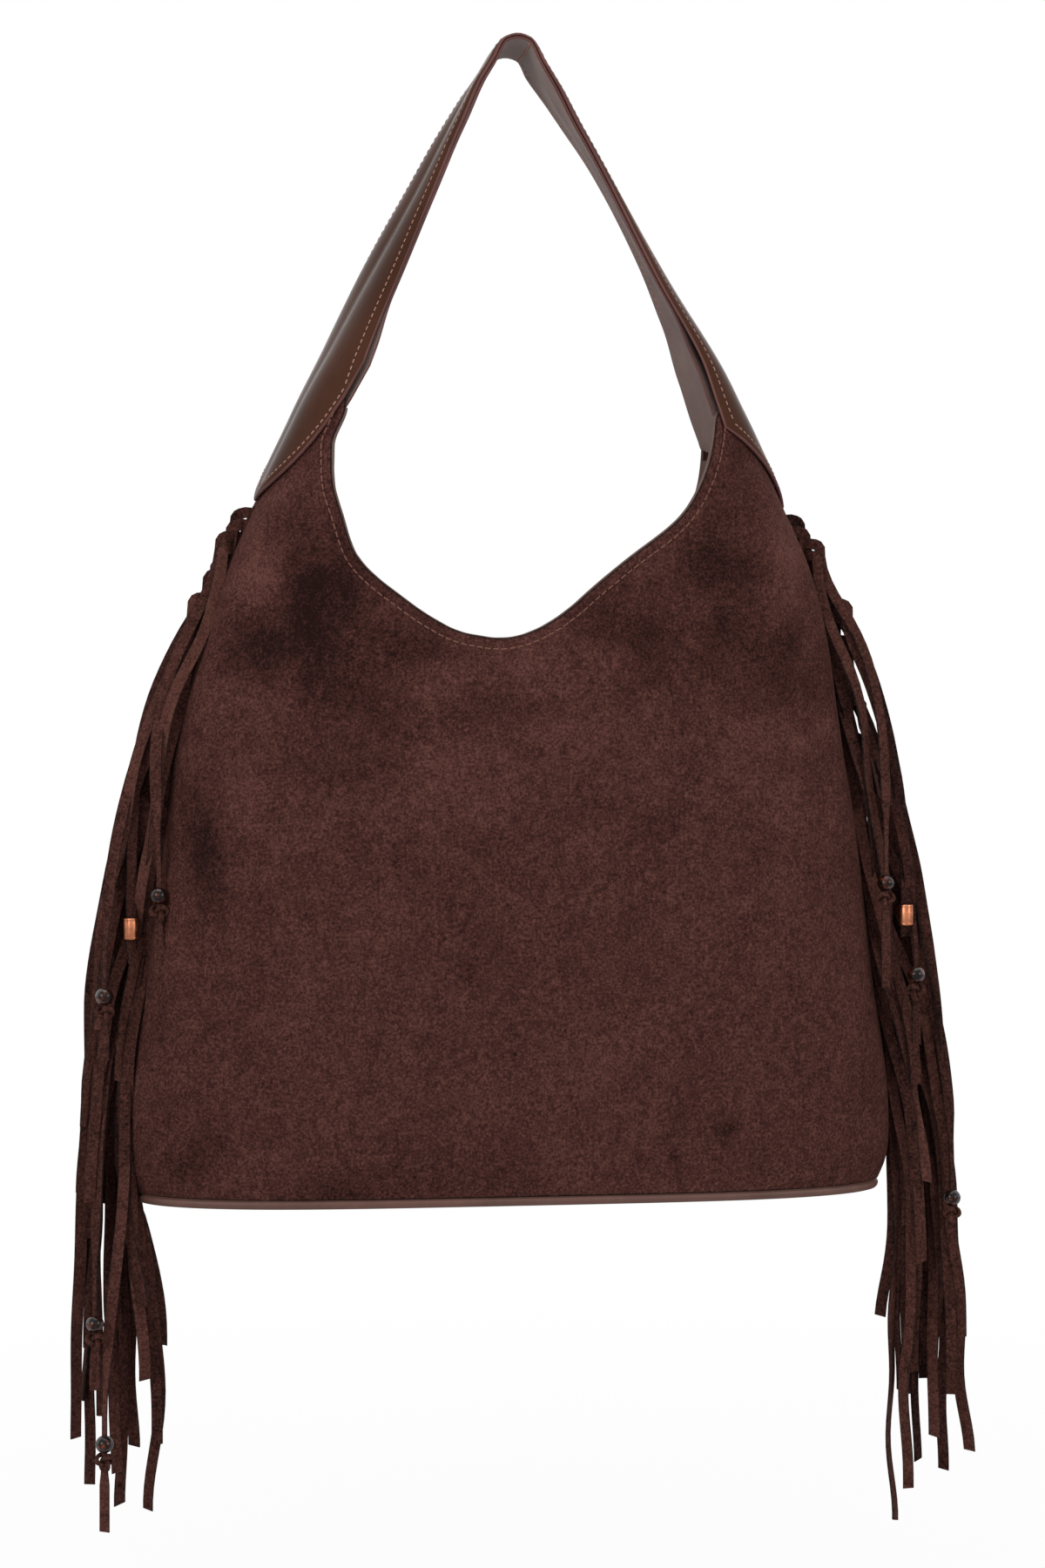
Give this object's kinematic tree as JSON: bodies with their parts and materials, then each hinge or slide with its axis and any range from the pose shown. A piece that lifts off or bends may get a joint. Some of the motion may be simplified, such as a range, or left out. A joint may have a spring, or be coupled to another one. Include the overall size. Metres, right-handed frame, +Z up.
{
  "type": "fringed suede bag",
  "caption": "Soft shoulder bag of dark suede with a folded leather strap, long side fringe with threaded beads and sleeves, and a scooped mouth.",
  "frame": {"origin": "middle of the underside of the strap's top, where the bag hangs", "axes": "+Z up, -Y out of the front panel, +X towards the side with three beads"},
  "size_m": [0.4163, 0.1052, 0.6656],
  "materials": {
    "suede": "napped suede",
    "fringe_suede": "napped suede, cut in strands",
    "strap_leather": "smooth, half gloss",
    "strap_lining": "smooth, dull",
    "base_leather": "smooth, dull",
    "lining_fabric": "plain woven",
    "snap_metal": "plated",
    "bead": "glossy, nearly black",
    "copper": "copper plated, satin"
  },
  "bodies": {
    "root": {"front_panel": "suede", "back_panel": "suede", "base_panel": "base_leather", "strap_outer": "strap_leather", "strap_lining": "strap_lining", "mouth_facing_front": "strap_lining", "mouth_facing_back": "strap_lining", "lining_bag": "lining_fabric", "inner_pocket": "lining_fabric", "snap_socket": "snap_metal", "snap_stud": "snap_metal", "fringe_left": "fringe_suede", "fringe_right": "fringe_suede", "bead_left_1": "bead", "bead_left_2": "bead", "bead_left_3": "bead", "bead_left_4": "bead", "bead_right_1": "bead", "bead_right_2": "bead", "bead_right_3": "bead", "sleeve_left": "copper", "sleeve_right": "copper"}
  },
  "joints": []
}
